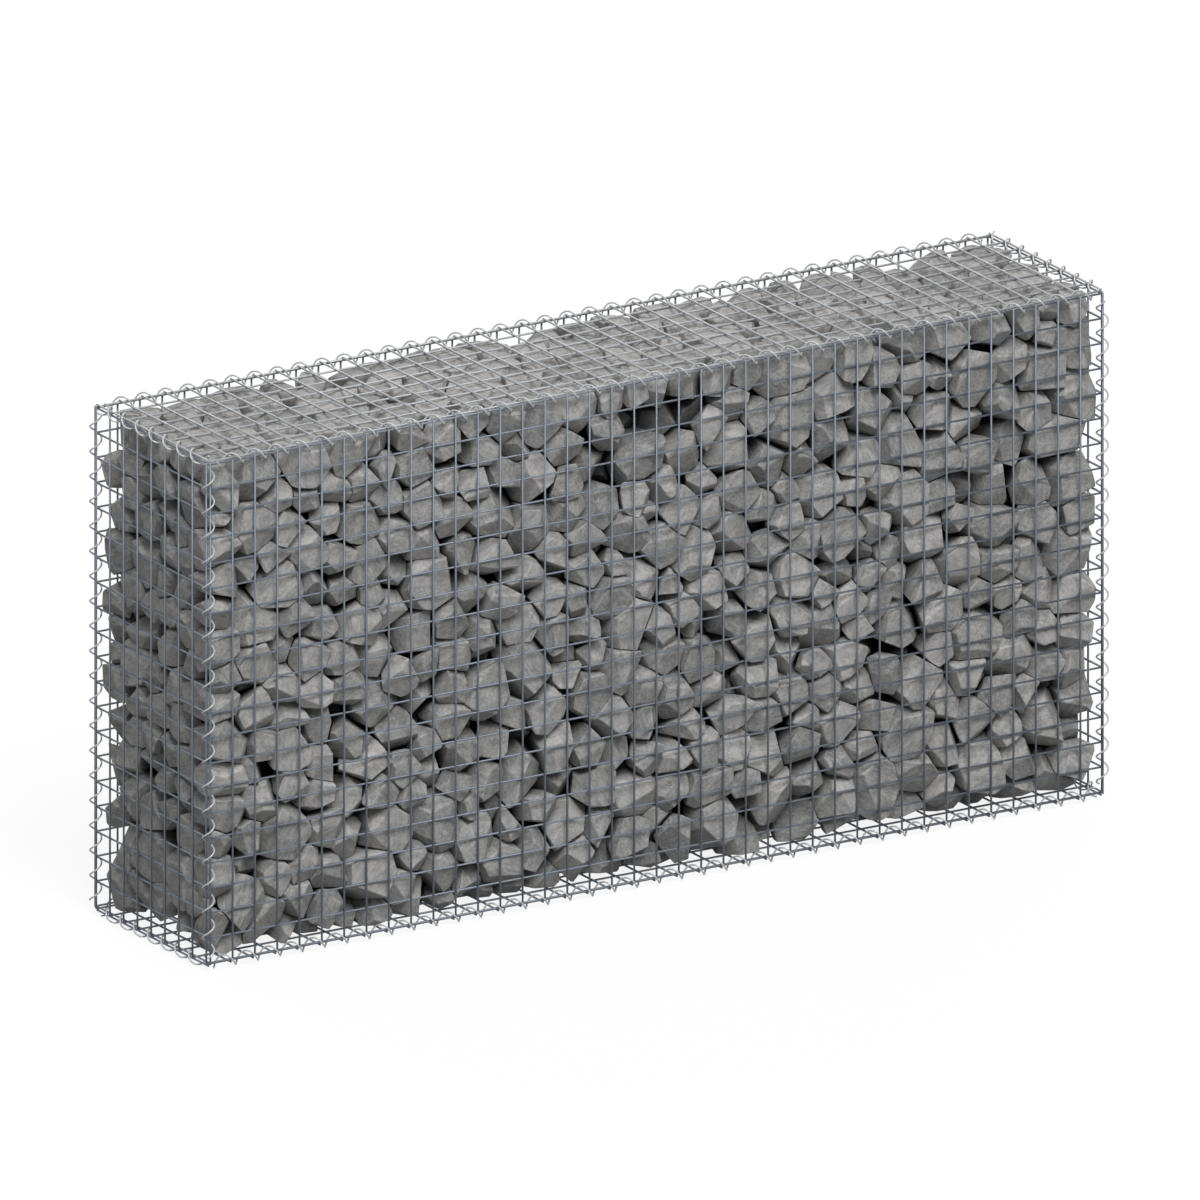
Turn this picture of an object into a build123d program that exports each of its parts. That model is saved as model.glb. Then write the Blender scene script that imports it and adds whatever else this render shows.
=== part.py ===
from build123d import *

import os
from math import acos, ceil, cos, pi, radians, sin, sqrt

# Gabion wall: one closed basket of welded mesh, laced along its edges and packed with stone.
#
# The basket stands on the ground with its length along X, its depth along Y and +Z up.
# Six flat sides of mesh are joined along all twelve edges by spirals, one turn to each mesh
# opening, and stone fills everything inside. The origin is at the centre of the footprint,
# at the level of the lowest spiral turns.
#
# Every side has two layers of wire, welded where they cross: the inner layer lies against
# the stone, and the outer layer crosses it on the outside of the basket.

# Basket, between the centres of its border wires
length = 2000.0
depth = 400.0
height = 1000.0
cell = 50.0

# Mesh wire, a square bar with the section of a 4 mm round wire
wire = 3.5
stub = 3.0  # how far a wire runs on past the centre of the border wire
lid_stub = 1.5  # the same for the lengthwise wires of lid and base, inside the end uprights
side_lap = 5.5  # how far front and back stand outside the border wires of the ends

# Lacing spirals, with a few flats to each turn
spiral_wire = 3.1
spiral_radius = 10.9
spiral_flats = 6
spiral_inset = 12.5  # how far each spiral stops short of the corners
spiral_clearance = 0.5  # free space between a spiral and the stone

# Each spiral's two sides of the basket, as -1 or 1, and its angle about the edge
# where it passes the first cross wires. It clears the wires that meet at the edge.
# Upright edges: sides on X and Y, angle from +X to +Y
upright_edges = {
    "front_left": (-1, -1, 150.0),
    "front_right": (1, -1, 10.0),
    "back_left": (-1, 1, 70.0),
    "back_right": (1, 1, 30.0),
}
# Edges along X: sides on Y and Z, angle from +Y to +Z
lengthwise_edges = {
    "front_top": (-1, 1, 100.0),
    "front_bottom": (-1, -1, 230.0),
    "back_top": (1, 1, 50.0),
    "back_bottom": (1, -1, 130.0),
}
# Edges along Y: sides on X and Z, angle from +Z to +X
crosswise_edges = {
    "left_top": (-1, 1, 300.0),
    "left_bottom": (-1, -1, 270.0),
    "right_top": (1, 1, 40.0),
    "right_bottom": (1, -1, 90.0),
}

# Wires on each side of the basket
columns = round(length / cell) + 1
rows = round(height / cell) + 1
ranks = round(depth / cell) + 1

# Centres of the inner wires of each side, from the middle of the basket
end_face = length / 2
side_face = depth / 2 + side_lap
lid_face = height / 2 + wire

# Axes of the spirals, halfway between the two border wires that each one laces
upright_x = end_face + wire / 2
upright_y = (side_face + wire + depth / 2) / 2
lengthwise_y = (side_face + depth / 2) / 2
lengthwise_z = (height / 2 + lid_face) / 2
crosswise_x = end_face
crosswise_z = (height / 2 + lid_face + wire) / 2

# How far the mitred corners of a spiral reach from its axis, which sets its foot on the ground
chord = 2 * spiral_radius * sin(pi / spiral_flats)
rise = cell / spiral_flats
bend = acos((chord**2 * cos(2 * pi / spiral_flats) + rise**2) / (chord**2 + rise**2))
spiral_reach = spiral_radius + spiral_wire / sqrt(2) / cos(bend / 2)
middle = spiral_reach + crosswise_z  # height of the middle of the basket

os.makedirs("parts", exist_ok=True)


def mesh_side(name, plane, inner_wires, outer_wires):
    """A flat side of mesh on a plane that faces outwards, with its inner wires along the plane's X.

    inner_wires gives where they start and end on X, and how many there are.
    outer_wires gives the place of the first on X, how long they are, and how many there are.
    """
    inner_start, inner_end, inner_count = inner_wires
    outer_start, outer_length, outer_count = outer_wires
    with BuildPart() as side:
        with BuildSketch(plane.offset(-wire / 2)):
            with Locations(((inner_start + inner_end) / 2, 0)):
                with GridLocations(cell, cell, 1, inner_count):
                    Rectangle(inner_end - inner_start, wire)
        extrude(amount=wire)
        with BuildSketch(plane.offset(wire / 2)):
            with Locations((outer_start + cell * (outer_count - 1) / 2, 0)):
                with GridLocations(cell, cell, outer_count, 1):
                    Rectangle(wire, outer_length)
        extrude(amount=wire)
    side.part.label = name
    export_step(side.part, f"parts/{name}.step")


def long_side(side, plane):
    """Front or back, in three bays whose lengthwise wires meet halfway between two uprights."""
    third = round(columns / 3)
    bays = {"left": (0, third), "middle": (third, columns - third), "right": (columns - third, columns)}
    for bay, (first, after) in bays.items():
        start = cell * (first - 0.5) - length / 2
        end = cell * (after - 0.5) - length / 2
        wire_start = max(start, -length / 2 - stub)
        wire_end = min(end, length / 2 + stub)
        mesh_side(
            f"{side}_mesh_{bay}",
            plane,
            (wire_start, wire_end, rows),
            (start + cell / 2, height + 2 * stub, after - first),
        )


def spiral(name, plane, run, angle):
    """A right-handed coil round the plane's Z axis, along an edge of the given run.

    The plane lies halfway along the edge, and angle is measured from the plane's X.
    """
    coiled = run - 2 * spiral_inset
    steps = ceil(coiled / cell * spiral_flats)
    points = []
    for step in range(steps + 1):
        along = coiled * step / steps
        turn = radians(angle + 360 * (along + spiral_inset) / cell)
        points.append((spiral_radius * cos(turn), spiral_radius * sin(turn), along - coiled / 2))
    with BuildPart() as coil:
        with BuildLine(plane) as path:
            Polyline(*points)
        with BuildSketch(Plane(path.line @ 0, z_dir=path.line % 0)):
            Rectangle(spiral_wire, spiral_wire)
        sweep(transition=Transition.RIGHT)
    coil.part.label = name
    export_step(coil.part, f"parts/{name}.step")


# Front and back
long_side("front", Plane((0, -side_face, middle), x_dir=(1, 0, 0), z_dir=(0, -1, 0)))
long_side("back", Plane((0, side_face, middle), x_dir=(1, 0, 0), z_dir=(0, 1, 0)))

# Left and right ends
end_wires = (-depth / 2 - stub, depth / 2 + stub, rows)
end_uprights = (-depth / 2, height + 2 * stub, ranks)
left_plane = Plane((-end_face, 0, middle), x_dir=(0, 1, 0), z_dir=(-1, 0, 0))
right_plane = Plane((end_face, 0, middle), x_dir=(0, 1, 0), z_dir=(1, 0, 0))
mesh_side("left_end_mesh", left_plane, end_wires, end_uprights)
mesh_side("right_end_mesh", right_plane, end_wires, end_uprights)

# Lid and base
lid_wires = (-length / 2 - lid_stub, length / 2 + lid_stub, ranks)
cross_wires = (-length / 2, depth + 2 * stub, columns)
lid_plane = Plane((0, 0, middle + lid_face), x_dir=(1, 0, 0), z_dir=(0, 0, 1))
base_plane = Plane((0, 0, middle - lid_face), x_dir=(1, 0, 0), z_dir=(0, 0, -1))
mesh_side("lid_mesh", lid_plane, lid_wires, cross_wires)
mesh_side("base_mesh", base_plane, lid_wires, cross_wires)

# Spirals
hollows = []
for edge, (x_side, y_side, angle) in upright_edges.items():
    hollows.append(Plane((x_side * upright_x, y_side * upright_y, middle)))
    spiral(f"{edge}_spiral", hollows[-1], height, angle)
for edge, (y_side, z_side, angle) in lengthwise_edges.items():
    axis_point = (0, y_side * lengthwise_y, middle + z_side * lengthwise_z)
    hollows.append(Plane(axis_point, x_dir=(0, 1, 0), z_dir=(1, 0, 0)))
    spiral(f"{edge}_spiral", hollows[-1], length, angle)
for edge, (x_side, z_side, angle) in crosswise_edges.items():
    axis_point = (x_side * crosswise_x, 0, middle + z_side * crosswise_z)
    hollows.append(Plane(axis_point, x_dir=(0, 0, 1), z_dir=(0, 1, 0)))
    spiral(f"{edge}_spiral", hollows[-1], depth, angle)

# Stone fill, which bears on the inner wires of every side and is hollowed along every edge
with BuildPart() as stone_fill:
    with Locations((0, 0, middle)):
        Box(2 * end_face - wire, 2 * side_face - wire, 2 * lid_face - wire)
    for hollow in hollows:
        with BuildSketch(hollow):
            Circle(spiral_reach + spiral_clearance)
        extrude(amount=length, both=True, mode=Mode.SUBTRACT)
stone_fill.part.label = "stone_fill"
export_step(stone_fill.part, "parts/stone_fill.step")
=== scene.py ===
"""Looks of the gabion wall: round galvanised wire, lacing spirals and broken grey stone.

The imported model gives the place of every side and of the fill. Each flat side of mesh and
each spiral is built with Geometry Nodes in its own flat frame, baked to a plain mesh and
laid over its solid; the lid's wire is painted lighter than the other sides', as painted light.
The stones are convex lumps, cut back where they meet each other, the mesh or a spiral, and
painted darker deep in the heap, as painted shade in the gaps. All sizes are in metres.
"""

import logging
import math
from dataclasses import dataclass, field
from enum import Enum
from functools import lru_cache
from itertools import combinations
from typing import Any, Dict, List, Optional, Sequence, Set, Tuple

import bmesh
import bpy
import numpy as np
from mathutils import Matrix, Vector

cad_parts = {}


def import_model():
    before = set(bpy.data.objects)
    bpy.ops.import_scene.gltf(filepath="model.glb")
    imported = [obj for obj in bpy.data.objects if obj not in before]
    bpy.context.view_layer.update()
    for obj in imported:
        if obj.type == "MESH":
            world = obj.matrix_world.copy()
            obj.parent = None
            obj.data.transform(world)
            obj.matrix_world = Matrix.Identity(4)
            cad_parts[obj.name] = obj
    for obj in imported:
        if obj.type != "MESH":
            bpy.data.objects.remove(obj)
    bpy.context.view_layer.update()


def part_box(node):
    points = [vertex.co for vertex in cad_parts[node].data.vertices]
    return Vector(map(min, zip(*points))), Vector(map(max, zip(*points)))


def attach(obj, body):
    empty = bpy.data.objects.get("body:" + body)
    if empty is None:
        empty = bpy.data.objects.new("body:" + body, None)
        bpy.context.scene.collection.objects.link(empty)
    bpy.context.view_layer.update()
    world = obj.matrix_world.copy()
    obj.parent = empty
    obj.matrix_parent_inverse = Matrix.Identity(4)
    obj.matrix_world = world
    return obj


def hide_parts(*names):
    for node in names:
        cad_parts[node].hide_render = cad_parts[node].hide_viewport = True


LOG = logging.getLogger("gabion")
BODY = "root"
LONG_BAYS = ("left", "middle", "right")
STONE_BAYS = ("left_stones", "middle_left_stones", "middle_right_stones", "right_stones")
# One opening of the mesh
CELL = 0.05
# The mottling: its two noises, and how much finer the fine one is
SOFT_NOISE = {"Detail": 4.0, "Roughness": 0.6}
FINE_NOISE = {"Detail": 3.0, "Roughness": 0.7}
FINER = 3.7
# How far into the pattern each stone's grain may start
GRAIN_REACH = 4.0
# Three planes nearer to parallel than this don't meet in a corner
FLATTEST_TRIO = 1e-3
TOLERANCE = 1e-7

Colour = Tuple[float, float, float]
Feeds = Optional[Dict[Any, Any]]


class Tree(Enum):
    """The two kinds of node group that the script builds."""

    GEOMETRY = "GeometryNodeTree"
    SHADER = "ShaderNodeTree"


class Socket(Enum):
    """Socket types of the node groups."""

    GEOMETRY = "NodeSocketGeometry"
    MATERIAL = "NodeSocketMaterial"
    LENGTH = "NodeSocketFloat"
    COUNT = "NodeSocketInt"
    VECTOR = "NodeSocketVector"


class Run(Enum):
    """The direction that an edge of the basket runs in, as the axes that its spiral turns in."""

    UPRIGHT = ((1, 0, 0), (0, 1, 0), (0, 0, 1))
    LENGTHWISE = ((0, 1, 0), (0, 0, 1), (1, 0, 0))
    CROSSWISE = ((0, 0, 1), (1, 0, 0), (0, 1, 0))

    @property
    def along(self) -> Vector:
        """The direction of the edge itself."""
        return Vector(self.value[2])

    @property
    def turning(self) -> Matrix:
        """The rotation from a spiral's own frame to this direction."""
        return Matrix([Vector(axis) for axis in self.value]).transposed()


class Group:
    """A node group under construction, with named inputs and outputs."""

    def __init__(self, name: str, kind: Tree) -> None:
        """Makes an empty group.

        Args:
            name: The group's name.
            kind: Geometry or shader.
        """
        self.tree = bpy.data.node_groups.new(name, kind.value)
        self.inputs: Dict[str, str] = {}
        self.entry = self.tree.nodes.new("NodeGroupInput")
        self.exit = self.tree.nodes.new("NodeGroupOutput")

    def take(self, name: str, kind: Socket) -> bpy.types.NodeSocket:
        """Adds a named input.

        Args:
            name: The input's name.
            kind: The socket's type.

        Returns:
            The socket inside the group that carries the value.
        """
        item = self.tree.interface.new_socket(name=name, in_out="INPUT", socket_type=kind.value)
        self.inputs[name] = item.identifier
        return self.entry.outputs[name]

    def give(self, name: str, kind: Socket, source: bpy.types.NodeSocket) -> None:
        """Adds a named output fed by a socket."""
        self.tree.interface.new_socket(name=name, in_out="OUTPUT", socket_type=kind.value)
        self.tree.links.new(source, self.exit.inputs[name])

    def finish(self, shape: bpy.types.NodeSocket, material: bpy.types.NodeSocket) -> None:
        """Ends a geometry group: makes its copies real and gives the shape its material."""
        solid = self.add("GeometryNodeRealizeInstances", {"Geometry": shape}).outputs[0]
        done = self.add("GeometryNodeSetMaterial", {"Geometry": solid, "Material": material})
        self.give("Geometry", Socket.GEOMETRY, done.outputs[0])

    def add(self, kind: str, feeds: Feeds = None, **settings: Any) -> bpy.types.Node:
        """Adds a node, see `add_node`."""
        return add_node(self.tree, kind, feeds, **settings)

    def sum(self, operation: str, *values: Any) -> bpy.types.NodeSocket:
        """Adds a Math node.

        Args:
            operation: The operation's name.
            values: Sockets or numbers, in the node's own order.

        Returns:
            The result's socket.
        """
        return self.add("ShaderNodeMath", dict(enumerate(values)), operation=operation).outputs[0]

    def point(self, x: Any = 0.0, y: Any = 0.0, z: Any = 0.0) -> bpy.types.NodeSocket:
        """Combines three sockets or numbers into a vector."""
        return self.add("ShaderNodeCombineXYZ", {0: x, 1: y, 2: z}).outputs[0]


def add_node(tree: bpy.types.NodeTree, kind: str, feeds: Feeds = None, **settings: Any) -> bpy.types.Node:
    """Adds a node to a tree.

    Args:
        tree: The tree.
        kind: The node's type.
        feeds: What goes into each input, by its name or number: a socket or a value.
        settings: Properties of the node itself.

    Returns:
        The node.
    """
    node = tree.nodes.new(kind)
    for key, value in settings.items():
        setattr(node, key, value)
    for key, value in (feeds or {}).items():
        if isinstance(value, bpy.types.NodeSocket):
            tree.links.new(value, node.inputs[key])
        else:
            node.inputs[key].default_value = value
    return node


def new_material(name: str) -> Tuple[bpy.types.Material, bpy.types.NodeTree, bpy.types.Node]:
    """Makes a material, and gives it with its tree and its Principled shader."""
    material = bpy.data.materials.new(name)
    material.use_nodes = True
    return material, material.node_tree, material.node_tree.nodes["Principled BSDF"]


def mottled(
    tree: bpy.types.NodeTree, mottle: Group, place: bpy.types.NodeSocket, scale: float, contrast: float
) -> bpy.types.Node:
    """Places the shared mottling in a material.

    Args:
        tree: The material's tree.
        mottle: The shared group.
        place: Where on the piece each point is.
        scale: How fine the mottling is, as marks to a metre.
        contrast: How strong it is.

    Returns:
        The group's node.
    """
    feeds = {"Place": place, "Scale": scale, "Contrast": contrast}
    return add_node(tree, "ShaderNodeGroup", feeds, node_tree=mottle.tree)


def mix_colours(tree: bpy.types.NodeTree, share: Any, first: Any, second: Any) -> bpy.types.NodeSocket:
    """Mixes two colours.

    Args:
        tree: The material's tree.
        share: The second's share.
        first: The first colour.
        second: The second colour.

    Returns:
        The mixed colour's socket.
    """
    feeds = {0: share, 6: first, 7: second}
    return add_node(tree, "ShaderNodeMix", feeds, data_type="RGBA").outputs[2]


def seen_rays(tree: bpy.types.NodeTree, *more: str) -> bpy.types.NodeSocket:
    """Tells what the camera sees, straight or mirrored, from what only lights the wall.

    Args:
        tree: The tree.
        more: Other rays that count as seen, by their names on the Light Path node.

    Returns:
        The socket, 1 for a seen ray and 0 for any other.
    """
    rays = add_node(tree, "ShaderNodeLightPath")
    seen = rays.outputs["Is Camera Ray"]
    for kind in ("Is Glossy Ray", *more):
        feeds = {0: seen, 1: rays.outputs[kind]}
        seen = add_node(tree, "ShaderNodeMath", feeds, operation="MAXIMUM").outputs[0]
    return seen


def bake(group: Group, values: Dict[str, Any], name: str) -> bpy.types.Mesh:
    """Runs a geometry group once and keeps its result as a plain mesh.

    Args:
        group: The geometry group.
        values: Its inputs by name.
        name: The mesh's name.

    Returns:
        The baked mesh.
    """
    carrier = bpy.data.objects.new(f"{name}_carrier", bpy.data.meshes.new(f"{name}_empty"))
    bpy.context.scene.collection.objects.link(carrier)
    modifier = carrier.modifiers.new("build", "NODES")
    modifier.node_group = group.tree
    for label, value in values.items():
        modifier[group.inputs[label]] = value
    evaluated = carrier.evaluated_get(bpy.context.evaluated_depsgraph_get())
    mesh = bpy.data.meshes.new_from_object(evaluated)
    mesh.name = name
    bpy.data.objects.remove(carrier)
    return mesh


def seat(name: str, mesh: bpy.types.Mesh, nodes: Sequence[str] = ()) -> bpy.types.Object:
    """Puts a finished mesh in the scene as a piece of the wall.

    Args:
        name: The piece's name.
        mesh: Its mesh, with its place in its vertices.
        nodes: The solids that it stands for.

    Returns:
        The piece.
    """
    piece = bpy.data.objects.new(name, mesh)
    bpy.context.scene.collection.objects.link(piece)
    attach(piece, BODY)
    if nodes:
        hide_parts(*nodes)
    triangles = sum(len(face.vertices) - 2 for face in mesh.polygons)
    LOG.info("%s: %d triangles", name, triangles)
    return piece


@dataclass(frozen=True)
class Galvanised:
    """Drawn steel wire with a zinc coat, which is smooth where its fine pattern is high."""

    name: str
    colour: Colour
    dull_colour: Colour
    roughness: Tuple[float, float]
    metallic: float
    spangle: float = 180.0
    contrast: float = 1.6
    fine_range: Tuple[float, float] = (0.25, 0.75)
    bump: float = 0.15
    bump_height: float = 0.0004

    def material(self, mottle: Group) -> bpy.types.Material:
        """Builds the material.

        Args:
            mottle: The shared group for a mottled mask.

        Returns:
            The material.
        """
        material, tree, shader = new_material(self.name)
        shader.inputs["Metallic"].default_value = self.metallic
        place = add_node(tree, "ShaderNodeTexCoord").outputs["Object"]
        zinc = mottled(tree, mottle, place, self.spangle, self.contrast)
        fine = zinc.outputs["Fine"]
        colour = mix_colours(tree, zinc.outputs["Mask"], (*self.dull_colour, 1), (*self.colour, 1))
        tree.links.new(colour, shader.inputs["Base Color"])
        fine_low, fine_high = self.fine_range
        smooth, rough = self.roughness
        spread = {0: fine, 1: fine_low, 2: fine_high, 3: rough, 4: smooth}
        roughness = add_node(tree, "ShaderNodeMapRange", spread)
        tree.links.new(roughness.outputs[0], shader.inputs["Roughness"])
        relief = {"Strength": self.bump, "Distance": self.bump_height, "Height": fine}
        bump = add_node(tree, "ShaderNodeBump", relief)
        tree.links.new(bump.outputs[0], shader.inputs["Normal"])
        return material


@dataclass(frozen=True)
class BrokenStone:
    """Quarried grey stone, streaked and mottled, each lump with its own tone, with painted shade darkening
    it deep in the heap.

    `clouds`, `streaks` and `specks` each give the marks to a metre and the contrast.
    """

    name: str = "broken_stone"
    pale: Colour = (0.54, 0.53, 0.515)
    dark: Colour = (0.24, 0.24, 0.24)
    bruise: Colour = (0.56, 0.555, 0.54)
    # Painted shade: the near-black colour that stones deep in the heap are darkened towards, standing in
    # for the shade in the gaps
    painted_shade: Colour = (0.022, 0.022, 0.023)
    clouds: Tuple[float, float] = (34.0, 2.4)
    streaks: Tuple[float, float] = (170.0, 5.0)
    specks: Tuple[float, float] = (330.0, 5.0)
    streak_stretch: float = 0.22
    specks_share: float = 0.45
    tone_share: float = 0.45
    fine_share: float = 0.42
    tone_range: Tuple[float, float] = (0.2, 0.8)
    edge_wear: float = 0.12
    painted_shade_depth: Tuple[float, float] = (0.02, 0.06)
    painted_shade_share: float = 0.94
    roughness: float = 0.9
    specular: float = 0.2
    relief_share: float = 0.35
    bump: float = 0.5
    bump_height: float = 0.002

    def material(self, mottle: Group) -> bpy.types.Material:
        """Builds the material.

        Args:
            mottle: The shared group for a mottled mask.

        Returns:
            The material.
        """
        material, tree, shader = new_material(self.name)
        shader.inputs["Roughness"].default_value = self.roughness
        shader.inputs["Specular IOR Level"].default_value = self.specular
        grain = add_node(tree, "ShaderNodeAttribute", attribute_name="grain").outputs["Vector"]
        tone, worn, depth = (
            add_node(tree, "ShaderNodeAttribute", attribute_name=name).outputs["Fac"]
            for name in ("tone", "worn", "depth")
        )
        stretch = {0: grain, 3: (1.0, 1.0, self.streak_stretch)}
        along = add_node(tree, "ShaderNodeMapping", stretch).outputs[0]
        clouds = mottled(tree, mottle, grain, *self.clouds)
        streaks = mottled(tree, mottle, along, *self.streaks)
        specks = mottled(tree, mottle, grain, *self.specks)
        fine = self._blend(tree, streaks.outputs["Mask"], specks.outputs["Mask"], self.specks_share)
        broad = self._blend(tree, clouds.outputs["Mask"], tone, self.tone_share)
        ramp = add_node(tree, "ShaderNodeValToRGB", {0: self._blend(tree, broad, fine, self.fine_share)})
        steps = zip(ramp.color_ramp.elements, self.tone_range, (self.dark, self.pale))
        for element, position, colour in steps:
            element.position = position
            element.color = (*colour, 1)
        wear = {0: worn, 1: self.edge_wear}
        chipped = add_node(tree, "ShaderNodeMath", wear, operation="MULTIPLY").outputs[0]
        dry = mix_colours(tree, chipped, ramp.outputs[0], (*self.bruise, 1))
        # Painted shade: the deeper a point lies in the heap, the more its colour goes to the painted shade
        # colour
        near, far = self.painted_shade_depth
        painted_shade_by_depth = {0: depth, 1: near, 2: far, 3: 0.0, 4: self.painted_shade_share}
        inside = add_node(tree, "ShaderNodeMapRange", painted_shade_by_depth).outputs[0]
        tree.links.new(mix_colours(tree, inside, dry, (*self.painted_shade, 1)), shader.inputs["Base Color"])
        height = self._blend(tree, clouds.outputs["Fine"], fine, self.relief_share)
        relief = {"Strength": self.bump, "Distance": self.bump_height, "Height": height}
        bump = add_node(tree, "ShaderNodeBump", relief)
        tree.links.new(bump.outputs[0], shader.inputs["Normal"])
        return material

    @staticmethod
    def _blend(tree: bpy.types.NodeTree, first: Any, second: Any, share: float) -> bpy.types.NodeSocket:
        """Mixes two masks.

        Args:
            tree: The material's tree.
            first: The first mask.
            second: The second mask.
            share: The second's share.

        Returns:
            The mixed mask's socket.
        """
        return add_node(tree, "ShaderNodeMix", {0: share, 2: first, 3: second}).outputs[0]


MESH_ZINC = Galvanised(
    name="galvanised_mesh",
    colour=(0.215, 0.242, 0.275),
    dull_colour=(0.145, 0.165, 0.19),
    roughness=(0.42, 0.58),
    metallic=0.6,
)
# Painted light: the lid is the same wire as the other sides, given a lighter, less metallic copy of their
# finish for the light that falls on the top
LID_ZINC_PAINTED_LIGHT = Galvanised(
    name="galvanised_lid_painted_light",
    colour=(0.5, 0.515, 0.535),
    dull_colour=(0.37, 0.385, 0.4),
    roughness=(0.3, 0.42),
    metallic=0.1,
)
COIL_ZINC = Galvanised(
    name="galvanised_coil",
    colour=(0.62, 0.63, 0.64),
    dull_colour=(0.47, 0.48, 0.49),
    roughness=(0.2, 0.32),
    metallic=0.1,
)
STONE = BrokenStone()


def mottle_group() -> Group:
    """Builds the shared mottling: a soft mask and a fine one from the same place.

    Returns:
        The group, with Place, Scale and Contrast in, and Mask and Fine out.
    """
    group = Group("Mottle", Tree.SHADER)
    place = group.take("Place", Socket.VECTOR)
    scale = group.take("Scale", Socket.LENGTH)
    contrast = group.take("Contrast", Socket.LENGTH)
    soft = group.add("ShaderNodeTexNoise", {"Vector": place, "Scale": scale, **SOFT_NOISE})
    fine_scale = group.sum("MULTIPLY", scale, FINER)
    fine = group.add("ShaderNodeTexNoise", {"Vector": place, "Scale": fine_scale, **FINE_NOISE})
    centred = group.sum("SUBTRACT", soft.outputs["Fac"], 0.5)
    stretched = group.sum("MULTIPLY_ADD", centred, contrast, 0.5)
    mask = group.add("ShaderNodeClamp", {0: stretched}).outputs[0]
    group.give("Mask", Socket.LENGTH, mask)
    group.give("Fine", Socket.LENGTH, fine.outputs["Fac"])
    return group


@dataclass
class MeshWire:
    """The wire of the flat sides: two layers, welded at every crossing."""

    radius: float = 0.002
    sides: int = 12
    weld_radius: float = 0.0026
    seed: int = 7
    group: Group = field(init=False)

    def __post_init__(self) -> None:
        """Builds the group that makes one flat side."""
        group = Group("Welded mesh", Tree.GEOMETRY)
        material = group.take("Material", Socket.MATERIAL)
        inner_length = group.take("Inner length", Socket.LENGTH)
        outer_length = group.take("Outer length", Socket.LENGTH)
        inner_count = group.take("Inner count", Socket.COUNT)
        outer_count = group.take("Outer count", Socket.COUNT)
        gap = group.take("Layer gap", Socket.LENGTH)
        cell = group.take("Cell", Socket.LENGTH)
        group.take("Wire radius", Socket.LENGTH)
        group.take("Wire sides", Socket.COUNT)
        weld = group.take("Weld radius", Socket.LENGTH)
        across = group.sum("MULTIPLY", group.sum("SUBTRACT", inner_count, 1), cell)
        along = group.sum("MULTIPLY", group.sum("SUBTRACT", outer_count, 1), cell)
        inner_start = group.point(y=group.sum("MULTIPLY", across, -0.5))
        outer_start = group.point(x=group.sum("MULTIPLY", along, -0.5), z=gap)
        quarter = math.pi / 2
        row = group.point(y=cell)
        column = group.point(x=cell)
        inner = self._layer(group, inner_count, inner_start, row, inner_length, (0, quarter, 0))
        outer = self._layer(group, outer_count, outer_start, column, outer_length, (quarter, 0, 0))
        crossings = group.add(
            "GeometryNodeMeshGrid",
            {"Size X": along, "Size Y": across, "Vertices X": outer_count, "Vertices Y": inner_count},
        )
        lift = group.point(z=group.sum("MULTIPLY", gap, 0.5))
        lifted = group.add(
            "GeometryNodeTransform", {"Geometry": crossings.outputs[0], "Translation": lift}
        )
        bead = group.add("GeometryNodeMeshIcoSphere", {"Radius": weld, "Subdivisions": 1})
        soft_bead = group.add("GeometryNodeSetShadeSmooth", {"Geometry": bead.outputs[0]})
        spin = group.add(
            "FunctionNodeRandomValue",
            {0: (0, 0, 0), 1: (math.pi, math.pi, math.pi), "Seed": self.seed},
            data_type="FLOAT_VECTOR",
        )
        welds = group.add(
            "GeometryNodeInstanceOnPoints",
            {"Points": lifted.outputs[0], "Instance": soft_bead.outputs[0], "Rotation": spin.outputs[0]},
        )
        joined = group.add("GeometryNodeJoinGeometry")
        for layer in (inner, outer, welds.outputs[0]):
            group.tree.links.new(layer, joined.inputs[0])
        group.finish(joined.outputs[0], material)
        self.group = group

    @staticmethod
    def _layer(
        group: Group, count: Any, start: Any, step: Any, length: Any, turn: Tuple[float, float, float]
    ) -> bpy.types.NodeSocket:
        """Makes one layer of parallel wires.

        Args:
            group: The group that it goes in.
            count: How many wires there are.
            start: Where the first one is.
            step: From one wire to the next.
            length: The wires' length.
            turn: The rotation that lays a wire down.

        Returns:
            The layer's socket.
        """
        places = group.add(
            "GeometryNodeMeshLine", {"Count": count, "Start Location": start, "Offset": step}, mode="OFFSET"
        )
        wire = group.add(
            "GeometryNodeMeshCylinder",
            {
                "Vertices": group.entry.outputs["Wire sides"],
                "Radius": group.entry.outputs["Wire radius"],
                "Depth": length,
            },
        )
        smooth = group.add(
            "GeometryNodeSetShadeSmooth",
            {"Geometry": wire.outputs["Mesh"], "Selection": wire.outputs["Side"]},
        )
        laid = group.add(
            "GeometryNodeInstanceOnPoints",
            {"Points": places.outputs[0], "Instance": smooth.outputs[0], "Rotation": turn},
        )
        return laid.outputs[0]


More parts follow.
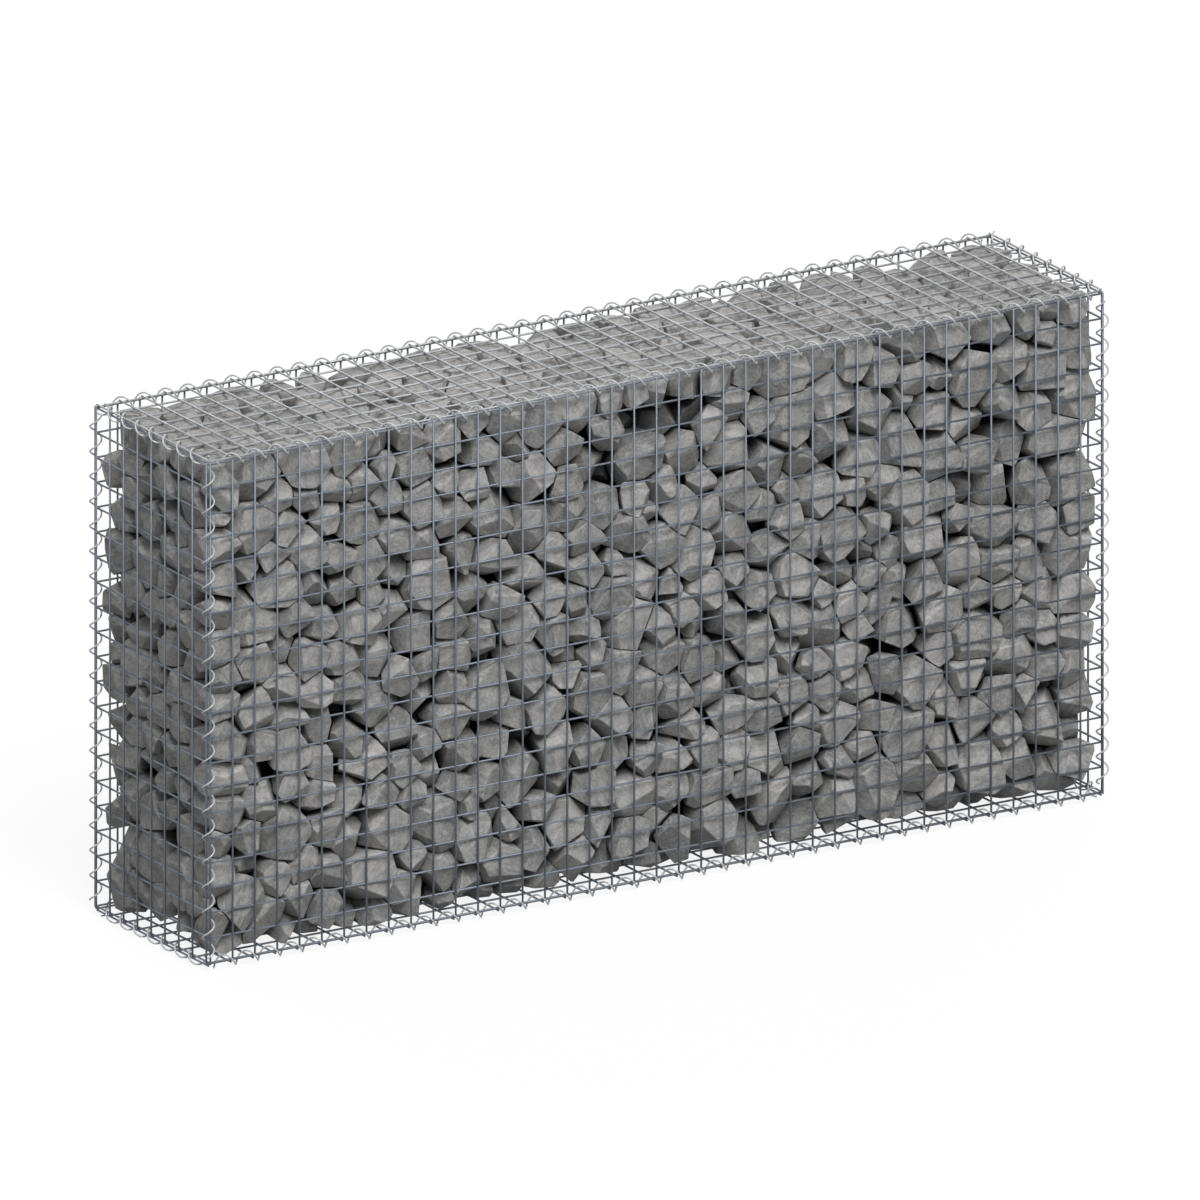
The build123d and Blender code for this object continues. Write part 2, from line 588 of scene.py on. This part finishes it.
@dataclass(frozen=True)
class FlatSide:
    """One flat side of the basket.

    The inner wires run along `along`, the outer ones along `upward`, and `outward` points
    away from the stone.
    """

    name: str
    nodes: Tuple[str, ...]
    along: Tuple[int, int, int]
    outward: Tuple[int, int, int]

    def build(self, wire: MeshWire, material: bpy.types.Material) -> bpy.types.Object:
        """Makes the side over its solids.

        Args:
            wire: The mesh wire.
            material: Its finish.

        Returns:
            The piece.
        """
        low, high = node_box(self.nodes)
        along = Vector(self.along)
        outward = Vector(self.outward)
        upward = outward.cross(along)
        size = high - low
        inner_length = abs(size.dot(along))
        outer_length = abs(size.dot(upward))
        gap = abs(size.dot(outward)) / 2
        middle = (low + high) / 2 - outward * gap / 2
        values = {
            "Material": material,
            "Inner length": inner_length,
            "Outer length": outer_length,
            "Inner count": int(outer_length / CELL) + 1,
            "Outer count": int(inner_length / CELL) + 1,
            "Layer gap": gap,
            "Cell": CELL,
            "Wire radius": wire.radius,
            "Wire sides": wire.sides,
            "Weld radius": wire.weld_radius,
        }
        mesh = bake(wire.group, values, self.name)
        turning = Matrix((along, upward, outward)).transposed().to_4x4()
        mesh.transform(Matrix.Translation(middle) @ turning)
        return seat(self.name, mesh, self.nodes)


@dataclass
class Lacing:
    """The spirals that lace the sides together, one turn to each opening."""

    coil_radius: float = 0.0112
    wire_radius: float = 0.00175
    inset: float = 0.0125
    steps: int = 20
    sides: int = 8
    group: Group = field(init=False)

    def __post_init__(self) -> None:
        """Builds the group that makes one spiral about the Z axis."""
        group = Group("Lacing spiral", Tree.GEOMETRY)
        material = group.take("Material", Socket.MATERIAL)
        run = group.take("Run", Socket.LENGTH)
        start = group.take("Start angle", Socket.LENGTH)
        pitch = group.take("Pitch", Socket.LENGTH)
        coil = group.take("Coil radius", Socket.LENGTH)
        radius = group.take("Wire radius", Socket.LENGTH)
        steps = group.take("Steps to a turn", Socket.COUNT)
        sides = group.take("Wire sides", Socket.COUNT)
        path = group.add(
            "GeometryNodeCurveSpiral",
            {
                "Resolution": steps,
                "Rotations": group.sum("DIVIDE", run, pitch),
                "Start Radius": coil,
                "End Radius": coil,
                "Height": run,
                "Reverse": True,
            },
        )
        turned = group.add(
            "GeometryNodeTransform",
            {
                "Geometry": path.outputs[0],
                "Translation": group.point(z=group.sum("MULTIPLY", run, -0.5)),
                "Rotation": group.point(z=start),
            },
        )
        profile = group.add("GeometryNodeCurvePrimitiveCircle", {"Resolution": sides, "Radius": radius})
        tube = group.add(
            "GeometryNodeCurveToMesh",
            {"Curve": turned.outputs[0], "Profile Curve": profile.outputs[0], "Fill Caps": True},
        )
        smooth = group.add("GeometryNodeSetShadeSmooth", {"Geometry": tube.outputs[0]})
        group.finish(smooth.outputs[0], material)
        self.group = group


@dataclass(frozen=True)
class Edge:
    """One edge of the basket and the spiral round it.

    `sides` points from the middle of the basket to the edge, with 0 along the edge, and
    `angle` is where the spiral passes the first cross wires, in degrees.
    """

    name: str
    run: Run
    sides: Tuple[int, int, int]
    angle: float

    def build(self, lacing: Lacing, basket: "Basket", material: bpy.types.Material) -> bpy.types.Object:
        """Makes the spiral round this edge.

        Args:
            lacing: The spirals' sizes.
            basket: The basket's sizes.
            material: Their finish.

        Returns:
            The piece.
        """
        length = basket.run_length(self.run) - 2 * lacing.inset
        start = math.radians(self.angle) + 2 * math.pi * lacing.inset / CELL
        values = {
            "Material": material,
            "Run": length,
            "Start angle": start,
            "Pitch": CELL,
            "Coil radius": lacing.coil_radius,
            "Wire radius": lacing.wire_radius,
            "Steps to a turn": lacing.steps,
            "Wire sides": lacing.sides,
        }
        name = f"{self.name}_coil"
        mesh = bake(lacing.group, values, name)
        mesh.transform(Matrix.Translation(basket.axis_point(self)) @ self.run.turning.to_4x4())
        return seat(name, mesh, (f"{self.name}_spiral",))


@lru_cache(maxsize=None)
def node_box(nodes: Tuple[str, ...]) -> Tuple[Vector, Vector]:
    """Gives the lowest and highest corner of several solids together, worked out once.

    Args:
        nodes: The solids' names.

    Returns:
        The two corners.
    """
    boxes = [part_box(node) for node in nodes]
    low = Vector([min(box[0][axis] for box in boxes) for axis in range(3)])
    high = Vector([max(box[1][axis] for box in boxes) for axis in range(3)])
    return low, high


FLAT_SIDES = (
    FlatSide("front_wires", tuple(f"front_mesh_{bay}" for bay in LONG_BAYS), (1, 0, 0), (0, -1, 0)),
    FlatSide("back_wires", tuple(f"back_mesh_{bay}" for bay in LONG_BAYS), (1, 0, 0), (0, 1, 0)),
    FlatSide("left_end_wires", ("left_end_mesh",), (0, 1, 0), (-1, 0, 0)),
    FlatSide("right_end_wires", ("right_end_mesh",), (0, 1, 0), (1, 0, 0)),
    FlatSide("lid_wires", ("lid_mesh",), (1, 0, 0), (0, 0, 1)),
    FlatSide("base_wires", ("base_mesh",), (1, 0, 0), (0, 0, -1)),
)
EDGES = (
    Edge("front_left", Run.UPRIGHT, (-1, -1, 0), 143),
    Edge("front_right", Run.UPRIGHT, (1, -1, 0), 2),
    Edge("back_left", Run.UPRIGHT, (-1, 1, 0), 54),
    Edge("back_right", Run.UPRIGHT, (1, 1, 0), 30),
    Edge("front_top", Run.LENGTHWISE, (0, -1, 1), 68),
    Edge("front_bottom", Run.LENGTHWISE, (0, -1, -1), 186),
    Edge("back_top", Run.LENGTHWISE, (0, 1, 1), 45),
    Edge("back_bottom", Run.LENGTHWISE, (0, 1, -1), 130),
    Edge("left_top", Run.CROSSWISE, (-1, 0, 1), 319),
    Edge("left_bottom", Run.CROSSWISE, (-1, 0, -1), 273),
    Edge("right_top", Run.CROSSWISE, (1, 0, 1), 98),
    Edge("right_bottom", Run.CROSSWISE, (1, 0, -1), 90),
)


@dataclass
class Basket:
    """The wire basket: six flat sides and twelve spirals, placed over the solids."""

    wire: MeshWire = field(default_factory=MeshWire)
    lacing: Lacing = field(default_factory=Lacing)

    def run_length(self, run: Run) -> float:
        """The length of an edge between the centres of its last cross wires."""
        low, high = node_box(("lid_mesh", "left_end_mesh"))
        return CELL * int((high - low).dot(run.along) / CELL)

    def axis_point(self, edge: Edge) -> Vector:
        """The middle of a spiral's axis, from the boxes of the flat sides.

        Args:
            edge: The edge.

        Returns:
            The point, halfway between the two border wires that the spiral laces.
        """
        lid_low, lid_high = node_box(("lid_mesh",))
        base_low = node_box(("base_mesh",))[0]
        front_high = node_box(FLAT_SIDES[0].nodes)[1]
        gap = (lid_high.z - lid_low.z) / 2
        middle = (lid_high.z + base_low.z) / 2
        half_length = self.run_length(Run.LENGTHWISE) / 2
        half_depth = self.run_length(Run.CROSSWISE) / 2
        half_height = self.run_length(Run.UPRIGHT) / 2
        face = -(front_high.y - gap / 2)
        x, y, z = edge.sides
        if edge.run is Run.UPRIGHT:
            return Vector((x * (half_length + gap / 2), y * (face + gap + half_depth) / 2, middle))
        if edge.run is Run.LENGTHWISE:
            return Vector((0, y * (face + half_depth) / 2, middle + z * (half_height + gap / 2)))
        return Vector((x * half_length, 0, middle + z * (half_height + gap)))

    def build(
        self,
        mesh_finish: bpy.types.Material,
        lid_painted_light_finish: bpy.types.Material,
        coil_finish: bpy.types.Material,
    ) -> None:
        """Makes every side and spiral.

        Args:
            mesh_finish: The finish of the flat sides.
            lid_painted_light_finish: The lid's copy of the mesh finish, painted lighter as painted light
                from above.
            coil_finish: The finish of the spirals.
        """
        for side in FLAT_SIDES:
            # The lid gets the lighter copy of the wire finish: painted light on the top
            side.build(self.wire, lid_painted_light_finish if side.name == "lid_wires" else mesh_finish)
        for edge in EDGES:
            edge.build(self.lacing, self, coil_finish)


@lru_cache(maxsize=None)
def trios(count: int) -> np.ndarray:
    """All ways to take three planes out of `count`."""
    return np.array(list(combinations(range(count), 3)))


@dataclass
class Cut:
    """The planes that bound one convex stone: outward normals, and how far out each plane lies."""

    normals: List[np.ndarray] = field(default_factory=list)
    offsets: List[float] = field(default_factory=list)

    def add(self, normal: np.ndarray, point: np.ndarray) -> None:
        """Adds the plane through a point."""
        self.normals.append(normal)
        self.offsets.append(float(normal @ point))

    def corners(self, least_edge: float) -> List[np.ndarray]:
        """Finds where three planes meet inside all the others.

        Args:
            least_edge: Corners nearer to each other than this count as one.

        Returns:
            The corners of the stone.
        """
        normals = np.array(self.normals)
        offsets = np.array(self.offsets)
        picks = trios(len(normals))
        sides = normals[picks]
        sound = np.abs(np.linalg.det(sides)) > FLATTEST_TRIO
        picks = picks[sound]
        points = np.linalg.solve(sides[sound], offsets[picks][:, :, None])[:, :, 0]
        inside = (points @ normals.T <= offsets + TOLERANCE).all(axis=1)
        kept: List[np.ndarray] = []
        for point in points[inside]:
            if all(np.linalg.norm(point - other) > least_edge for other in kept):
                kept.append(point)
        return kept


@dataclass
class Heap:
    """The lists that a heap of stones is joined from."""

    points: List[Sequence[float]] = field(default_factory=list)
    faces: List[Tuple[int, ...]] = field(default_factory=list)
    grains: List[float] = field(default_factory=list)
    tones: List[float] = field(default_factory=list)
    depths: List[float] = field(default_factory=list)
    worn: List[float] = field(default_factory=list)

    def mesh(self, name: str, finish: bpy.types.Material) -> bpy.types.Mesh:
        """Joins the stones in one mesh.

        Args:
            name: The mesh's name.
            finish: The stone's finish.

        Returns:
            The mesh, with its grain, tone, depth in the heap and worn edges as attributes.
        """
        mesh = bpy.data.meshes.new(name)
        mesh.from_pydata(self.points, [], self.faces)
        mesh.attributes.new("grain", "FLOAT_VECTOR", "POINT").data.foreach_set("vector", self.grains)
        mesh.attributes.new("tone", "FLOAT", "POINT").data.foreach_set("value", self.tones)
        mesh.attributes.new("depth", "FLOAT", "POINT").data.foreach_set("value", self.depths)
        mesh.attributes.new("worn", "FLOAT", "FACE").data.foreach_set("value", self.worn)
        mesh.materials.append(finish)
        return mesh


@dataclass
class StoneFill:
    """The broken stones inside the basket.

    Sizes are in metres. Leans are the spread of the random push on a plane's direction, and
    reaches and standoffs are shares of a stone's radius.
    """

    basket: Basket
    seed: int = 4127

    # How many stones there are, and how they settle. Two are near, or press, within a share of
    # their radii
    share_filled: float = 0.88
    mean_radius: float = 0.042
    spread: float = 0.19
    sizes: Tuple[float, float] = (0.66, 1.5)
    rounds: int = 170
    rounds_to_a_search: int = 10
    near: float = 1.3
    squeeze: float = 0.92
    push: float = 0.28
    standoff: Tuple[float, float] = (0.8, 1.3)
    top_standoff: float = 0.8

    # The bare edges, and the wavy top, which sags less at the front. Each wave has its share,
    # its turn to a metre, its start and its slant
    corner_hollow: float = 0.018
    bottom_hollow: float = 0.034
    edge_standoff: float = 1.2
    sag: float = 0.014
    front_sag: float = 0.2
    waves: Tuple[Tuple[float, ...], ...] = ((0.3, 9.7, 2.1, 0.0), (0.2, 23.0, 0.0, 5.0))

    # How one stone breaks out of the rock
    stretch: Tuple[float, float] = (0.76, 1.34)
    least_faces: int = 7
    more_faces: int = 4
    face_lean: float = 0.3
    face_reach: Tuple[float, float] = (0.74, 1.04)
    longest: float = 1.42

    # How it meets its neighbours, the mesh and the spirals. Walls within far_corner radii cut
    # it back, and it rests on those within resting radii
    press_lean: float = 0.16
    press_gap: Tuple[float, float] = (0.0003, 0.0016)
    wall_lean: float = 0.14
    wall_gap: float = 0.007
    wire_clear: float = 0.0008
    spiral_clear: float = 0.0136
    far_corner: float = 2.5
    resting: float = 1.5

    # How finely it is carved, and how deep in the heap, in mean radii, its edges still show
    least_edge: float = 0.0045
    flat_angle: float = 5.0
    chamfer: float = 0.0013
    shown_depth: float = 3.2

    low: np.ndarray = field(init=False)
    high: np.ndarray = field(init=False)
    bare_edges: List[Tuple[np.ndarray, np.ndarray, float]] = field(init=False)

    def __post_init__(self) -> None:
        """Takes the room for the stones from the solid fill, and the bare edges from the basket."""
        low, high = node_box(("stone_fill",))
        self.low = np.array(low)
        self.high = np.array(high)
        self.bare_edges = []
        for edge in EDGES:
            if edge.sides[2] > 0:
                continue
            hollow = self.corner_hollow if edge.run is Run.UPRIGHT else self.bottom_hollow
            across = 1.0 - np.array(edge.run.along)
            self.bare_edges.append((across, np.array(self.basket.axis_point(edge)), hollow))

    def confine(self, place: np.ndarray, radius: np.ndarray, room: np.ndarray) -> np.ndarray:
        """Keeps the stones inside the basket, off its upright and bottom edges and under a wavy top.

        Args:
            place: The stones' centres.
            radius: Their radii.
            room: How near to the mesh each centre may come.

        Returns:
            The centres, moved where they have to be.
        """
        wall = room[:, None]
        top = self.high[2] - self.top_standoff * radius
        place[:, :2] = np.clip(place[:, :2], (self.low + wall)[:, :2], (self.high - wall)[:, :2])
        place[:, 2] = np.maximum(place[:, 2], self.low[2] + self.top_standoff * radius)
        for across, point, hollow in self.bare_edges:
            apart = (place - point) * across
            distance = np.linalg.norm(apart, axis=1)
            short = np.clip(hollow + self.edge_standoff * radius - distance, 0, None) / distance
            place += apart * short[:, None]
        back = (place[:, 1] - self.low[1]) / (self.high[1] - self.low[1])
        wave = np.full(len(place), 0.5)
        for share, turn, start, slant in self.waves:
            wave = wave + share * np.sin(turn * place[:, 0] + start - slant * back)
        sag = self.sag * wave * (self.front_sag + (1 - self.front_sag) * back)
        place[:, 2] = np.minimum(place[:, 2], top - sag)
        return place

    def near_pairs(self, place: np.ndarray, radius: np.ndarray) -> Tuple[np.ndarray, np.ndarray]:
        """Finds the stones that lie near each other.

        Args:
            place: The stones' centres.
            radius: Their radii.

        Returns:
            The numbers of the first and of the second stone of each pair.
        """
        apart = np.linalg.norm(place[:, None, :] - place[None, :, :], axis=2)
        near = apart < self.near * (radius[:, None] + radius[None, :])
        return np.nonzero(np.triu(near, 1))

    def settle(self, random: np.random.Generator) -> Tuple[np.ndarray, np.ndarray]:
        """Spreads the stones through the basket until they press on each other evenly.

        Args:
            random: The source of chance.

        Returns:
            The stones' centres and radii.
        """
        size = self.high - self.low
        # The last factor is how much the spread of the radius adds to the mean of its cube
        mean_stone = 4 / 3 * math.pi * self.mean_radius**3 * math.exp(4.5 * self.spread**2)
        count = int(self.share_filled * size.prod() / mean_stone)
        smallest, largest = self.sizes
        radius = self.mean_radius * np.exp(random.normal(0.0, self.spread, count))
        radius = np.clip(radius, smallest * self.mean_radius, largest * self.mean_radius)
        place = self.low + random.random((count, 3)) * size
        room = radius * random.uniform(*self.standoff, count)
        for step in range(self.rounds):
            if step % self.rounds_to_a_search == 0:
                first, second = self.near_pairs(place, radius)
            apart = place[first] - place[second]
            distance = np.linalg.norm(apart, axis=1)
            reach = self.squeeze * (radius[first] + radius[second])
            press = np.clip(reach - distance, 0, None) / distance
            push = self.push * apart * press[:, None]
            np.add.at(place, first, push)
            np.add.at(place, second, -push)
            place = self.confine(place, radius, room)
        return place, radius

    def break_off(
        self, random: np.random.Generator, centre: np.ndarray, radius: float
    ) -> Tuple[Cut, np.ndarray]:
        """Breaks one stone out of the rock, with flat faces of its own.

        Args:
            random: The source of chance.
            centre: Where the stone lies.
            radius: Its radius.

        Returns:
            Its planes, and the three directions of its own frame.
        """
        own = np.linalg.qr(random.normal(size=(3, 3)))[0]
        stretch = random.uniform(*self.stretch, 3)
        cut = Cut()
        faces = self.least_faces + int(random.integers(0, self.more_faces))
        # The faces are spread evenly over a sphere, and each one leans a little
        for number in range(faces):
            rise = 1 - 2 * (number + 0.5) / faces
            turn = number * math.pi * (3 - math.sqrt(5))
            level = math.sqrt(1 - rise * rise)
            way = np.array([level * math.cos(turn), level * math.sin(turn), rise])
            way = way + random.normal(0, self.face_lean, 3)
            way /= np.linalg.norm(way)
            reach = radius * np.linalg.norm(way * stretch) * random.uniform(*self.face_reach)
            cut.add(own @ way, centre + own @ way * reach)
        for axis in range(3):
            for sign in (-1, 1):
                cut.add(sign * own[:, axis], centre + sign * own[:, axis] * self.longest * radius)
        return cut, own

    def press(
        self, random: np.random.Generator, place: np.ndarray, radius: np.ndarray, cuts: List[Cut]
    ) -> None:
        """Flattens every two neighbours where they meet, on a plane that they share.

        Args:
            random: The source of chance.
            place: The stones' centres.
            radius: Their radii.
            cuts: Their planes, which get the new ones.
        """
        for first, second in zip(*self.near_pairs(place, radius)):
            between = place[second] - place[first]
            distance = np.linalg.norm(between)
            share = (distance**2 + radius[first] ** 2 - radius[second] ** 2) / (2 * distance)
            middle = place[first] + between / distance * share
            way = between / distance + random.normal(0, self.press_lean, 3)
            way /= np.linalg.norm(way)
            gap = random.uniform(*self.press_gap)
            cuts[first].add(way, middle - way * gap)
            cuts[second].add(-way, middle + way * gap)

    def keep_inside(
        self, random: np.random.Generator, centre: np.ndarray, radius: float, cut: Cut
    ) -> None:
        """Cuts a stone back to the mesh and off the spirals.

        Args:
            random: The source of chance.
            centre: Where the stone lies.
            radius: Its radius.
            cut: Its planes, which get the new ones.
        """
        for axis in range(3):
            for sign, face in ((-1, self.low), (1, self.high)):
                room = sign * (face[axis] - centre[axis])
                if room > self.far_corner * radius:
                    continue
                way = np.zeros(3)
                way[axis] = sign
                touch = centre.copy()
                touch[axis] = face[axis] - sign * self.wire_clear
                cut.add(way.copy(), touch)
                if room > self.resting * radius:
                    continue
                lean = way + random.normal(0, self.wall_lean, 3)
                touch = touch - way * random.uniform(0, self.wall_gap)
                cut.add(lean / np.linalg.norm(lean), touch)
        for edge in EDGES:
            outward = np.array(edge.sides) / np.linalg.norm(edge.sides)
            touch = np.array(self.basket.axis_point(edge)) - outward * self.spiral_clear
            if (touch - centre) @ outward < self.far_corner * radius:
                cut.add(outward, touch)

    def carve(self, cut: Cut, seen: bool) -> Tuple[bmesh.types.BMesh, Set[bmesh.types.BMFace]]:
        """Turns a stone's planes into a solid.

        Args:
            cut: The planes.
            seen: Whether the stone shows, and gets chamfered edges.

        Returns:
            The solid, which the caller frees, and the faces along its edges.
        """
        solid = bmesh.new()
        corners = [solid.verts.new(corner) for corner in cut.corners(self.least_edge)]
        if len(corners) < 4:
            return solid, set()
        hull = bmesh.ops.convex_hull(solid, input=corners)
        loose = [part for part in hull["geom_interior"] if isinstance(part, bmesh.types.BMVert)]
        bmesh.ops.delete(solid, geom=loose, context="VERTS")
        flat = math.radians(self.flat_angle)
        bmesh.ops.dissolve_limit(solid, angle_limit=flat, verts=solid.verts[:], edges=solid.edges[:])
        bmesh.ops.recalc_face_normals(solid, faces=solid.faces[:])
        worn: Set[bmesh.types.BMFace] = set()
        if seen:
            rim = bmesh.ops.bevel(
                solid,
                geom=solid.edges[:],
                offset=self.chamfer,
                offset_type="OFFSET",
                segments=1,
                affect="EDGES",
                clamp_overlap=True,
            )
            worn = set(rim["faces"])
        return solid, worn

    def build(self, finish: bpy.types.Material) -> None:
        """Makes the stones as a few joined pieces.

        Args:
            finish: The stone's finish.
        """
        random = np.random.default_rng(self.seed)
        place, radius = self.settle(random)
        broken = [self.break_off(random, centre, size) for centre, size in zip(place, radius)]
        cuts = [cut for cut, _ in broken]
        self.press(random, place, radius, cuts)
        depth = np.minimum(place - self.low, self.high - place).min(axis=1)
        shown = depth < self.shown_depth * self.mean_radius
        bays = np.array_split(np.argsort(place[:, 0], kind="stable"), len(STONE_BAYS))
        for name, bay in zip(STONE_BAYS, bays):
            heap = Heap()
            for number in bay:
                self.keep_inside(random, place[number], radius[number], cuts[number])
                solid, worn = self.carve(cuts[number], bool(shown[number]))
                first = len(heap.points)
                solid.verts.index_update()
                tone = float(random.random())
                spot = random.uniform(-GRAIN_REACH, GRAIN_REACH, 3)
                own = broken[number][1]
                for vertex in solid.verts:
                    point = np.array(vertex.co)
                    heap.points.append(vertex.co[:])
                    heap.grains.extend((point - place[number]) @ own + spot)
                    heap.tones.append(tone)
                    heap.depths.append(float(np.minimum(point - self.low, self.high - point).min()))
                for face in solid.faces:
                    heap.faces.append(tuple(first + vertex.index for vertex in face.verts))
                    heap.worn.append(float(face in worn))
                solid.free()
            replaced = ("stone_fill",) if name == STONE_BAYS[0] else ()
            seat(name, heap.mesh(name, finish), replaced)


@dataclass(frozen=True)
class Studio:
    """The camera, the lamps and the white floor."""

    azimuth: float = -31.67
    elevation: float = 18.12
    frame_width: float = 2.2888
    right_shift: float = 0.0019
    up_shift: float = 0.4906
    distance: float = 8.0
    far_clip: float = 40.0
    sky: float = 0.25
    key: float = 2.5
    key_softness: float = 32.0
    key_from: Tuple[float, float, float] = (-0.19, -0.75, 1.0)
    fill: float = 1.3
    fill_softness: float = 60.0
    fill_from: Tuple[float, float, float] = (0.3, 0.85, 0.2)
    floor_half: float = 12.0
    floor_seen: float = 0.9
    floor_bounce: float = 0.25
    floor_glow: float = 1.03
    floor_glow_share: float = 0.86
    floor_roughness: float = 0.9
    floor_specular: float = 0.1

    def camera(self) -> None:
        """Places the camera at the photograph's viewing angle."""
        azimuth = math.radians(self.azimuth)
        elevation = math.radians(self.elevation)
        right = Vector((math.cos(azimuth), math.sin(azimuth), 0))
        back = Vector(
            (
                math.sin(azimuth) * math.cos(elevation),
                -math.cos(azimuth) * math.cos(elevation),
                math.sin(elevation),
            )
        )
        up = back.cross(right)
        data = bpy.data.cameras.new("camera")
        data.type = "ORTHO"
        data.ortho_scale = self.frame_width
        data.clip_end = self.far_clip
        camera = bpy.data.objects.new("camera", data)
        camera.matrix_world = (
            Matrix.Translation(right * self.right_shift + up * self.up_shift + back * self.distance)
            @ Matrix((right, up, back)).transposed().to_4x4()
        )
        bpy.context.scene.collection.objects.link(camera)
        bpy.context.scene.camera = camera

    def lamp(
        self, name: str, strength: float, softness: float, towards: Tuple[float, float, float]
    ) -> None:
        """Adds a far lamp.

        Args:
            name: The lamp's name.
            strength: Its strength.
            softness: Its apparent size in degrees.
            towards: The way from the wall to the lamp.
        """
        data = bpy.data.lights.new(name, "SUN")
        data.energy = strength
        data.angle = math.radians(softness)
        lamp = bpy.data.objects.new(name, data)
        lamp.rotation_euler = Vector(towards).to_track_quat("Z", "Y").to_euler()
        bpy.context.scene.collection.objects.link(lamp)

    def lamps(self) -> None:
        """Adds a soft key lamp, a softer one behind, and an even sky that looks white to the camera."""
        self.lamp("key", self.key, self.key_softness, self.key_from)
        self.lamp("fill", self.fill, self.fill_softness, self.fill_from)
        world = bpy.data.worlds.new("studio")
        world.use_nodes = True
        bpy.context.scene.world = world
        tree = world.node_tree
        white = {0: seen_rays(tree, "Is Transmission Ray"), 3: self.sky, 4: 1.0}
        strength = add_node(tree, "ShaderNodeMapRange", white)
        tree.links.new(strength.outputs[0], tree.nodes["Background"].inputs["Strength"])
        tree.nodes["Background"].inputs["Color"].default_value = (1, 1, 1, 1)

    def floor(self) -> None:
        """Lays a white floor that keeps a faint shadow."""
        mesh = bpy.data.meshes.new("floor")
        half = self.floor_half
        corners = [(-half, -half, 0), (half, -half, 0), (half, half, 0), (-half, half, 0)]
        mesh.from_pydata(corners, [], [(0, 1, 2, 3)])
        material, tree, shader = new_material("floor_white")
        shader.inputs["Roughness"].default_value = self.floor_roughness
        shader.inputs["Specular IOR Level"].default_value = self.floor_specular
        seen = seen_rays(tree)
        bounce = (self.floor_bounce, self.floor_bounce, self.floor_bounce, 1)
        white = (self.floor_seen, self.floor_seen, self.floor_seen, 1)
        tree.links.new(mix_colours(tree, seen, bounce, white), shader.inputs["Base Color"])
        light = {"Color": (1, 1, 1, 1), "Strength": self.floor_glow}
        glow = add_node(tree, "ShaderNodeEmission", light)
        share = {0: seen, 1: self.floor_glow_share}
        glowing = add_node(tree, "ShaderNodeMath", share, operation="MULTIPLY").outputs[0]
        both = {0: glowing, 1: shader.outputs[0], 2: glow.outputs[0]}
        mixed = add_node(tree, "ShaderNodeMixShader", both)
        tree.links.new(mixed.outputs[0], tree.nodes["Material Output"].inputs["Surface"])
        mesh.materials.append(material)
        floor = bpy.data.objects.new("floor", mesh)
        bpy.context.scene.collection.objects.link(floor)

    def build(self) -> None:
        """Sets up the whole studio."""
        bpy.context.scene.view_settings.view_transform = "Standard"
        self.camera()
        self.lamps()
        self.floor()


def main() -> None:
    """Builds the wall and the studio."""
    logging.basicConfig(level=logging.INFO, format="%(message)s")
    LOG.setLevel(logging.INFO)
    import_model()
    Studio().build()
    mottle = mottle_group()
    basket = Basket()
    basket.build(MESH_ZINC.material(mottle), LID_ZINC_PAINTED_LIGHT.material(mottle), COIL_ZINC.material(mottle))
    StoneFill(basket).build(STONE.material(mottle))


if __name__ == "__main__":
    main()
